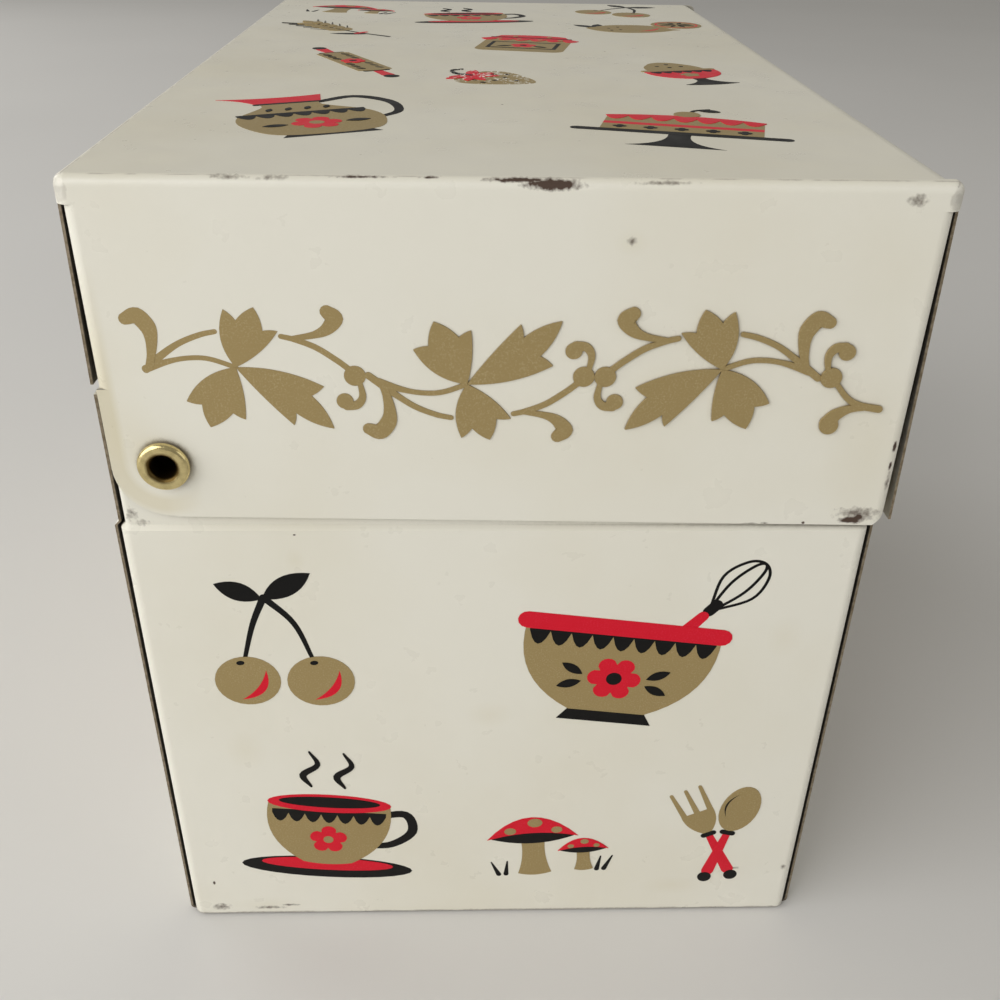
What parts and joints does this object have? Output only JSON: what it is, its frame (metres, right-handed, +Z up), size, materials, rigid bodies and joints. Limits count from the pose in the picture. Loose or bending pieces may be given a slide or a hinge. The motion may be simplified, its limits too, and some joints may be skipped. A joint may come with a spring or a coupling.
{
  "type": "recipe card box",
  "caption": "Hinged sheet-metal box for index cards, cream enamel printed with gold, red and black kitchen motifs, with a deep lid turning on eyelets near its back edge.",
  "frame": {"origin": "centre of the outline's bounding box, on the surface that the closed box stands on", "axes": "+X along the box's length, -Y to the front, +Y to the hinged back, +Z up"},
  "size_m": [0.1402, 0.083, 0.0983],
  "materials": {
    "cream_enamel": "semi-gloss baked enamel, worn to bare metal at the folds",
    "aged_brass": "tarnished"
  },
  "bodies": {
    "base": {"base_shell": "cream_enamel", "eyelet_left": "aged_brass", "eyelet_right": "aged_brass", "washer_left": "aged_brass", "washer_right": "aged_brass"},
    "lid": {"lid_shell": "cream_enamel"}
  },
  "joints": [
    {"name": "lid_hinge", "type": "hinge", "parent": "base", "child": "lid", "pos_m": [0, 0.03478, 0.0695], "axis": [-1, 0, 0], "range_deg": [0, 102]}
  ]
}
